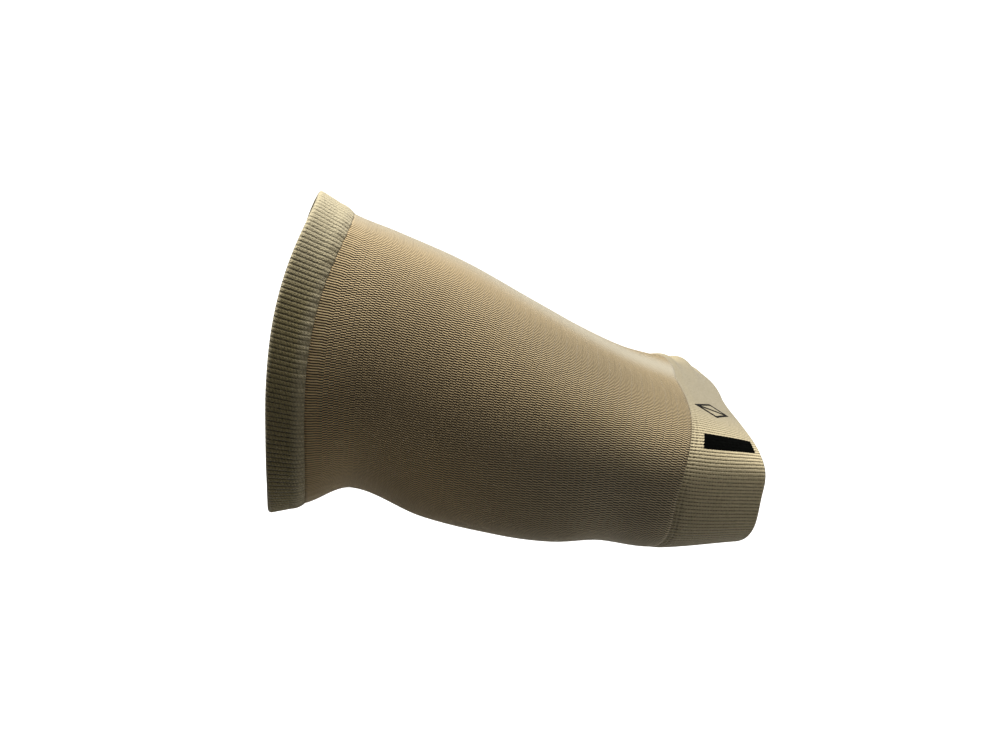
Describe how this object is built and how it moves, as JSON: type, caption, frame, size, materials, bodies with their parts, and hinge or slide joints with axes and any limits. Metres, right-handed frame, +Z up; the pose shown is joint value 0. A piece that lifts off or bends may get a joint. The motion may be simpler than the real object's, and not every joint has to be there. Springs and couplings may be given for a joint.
{
  "type": "arch support sleeve",
  "caption": "Elastic knitted sleeve worn round the middle of a left foot, with a folded ankle band, a ribbed toe band and a soft pad under the arch.",
  "frame": {"origin": "mount foot: the middle of the hollow that the foot goes through, half way along the sole", "axes": "+X towards the toes along the sole, +Y towards the little toe's side, +Z up from the sole"},
  "size_m": [0.1344, 0.0889, 0.0932],
  "materials": {
    "body_knit": "matte fine elastic knit, olive beige",
    "ankle_knit": "matte folded rib knit, olive beige",
    "toe_knit": "matte rib knit, olive beige",
    "pad": "soft satin gel, pale beige",
    "black_knit": "matte dense black knit",
    "black_print": "matte black print"
  },
  "bodies": {
    "root": {"sleeve_body": "body_knit", "ankle_cuff": "ankle_knit", "toe_cuff": "toe_knit", "arch_pad": "pad", "side_bar": "black_knit", "cuff_sign": "black_print"}
  },
  "joints": []
}
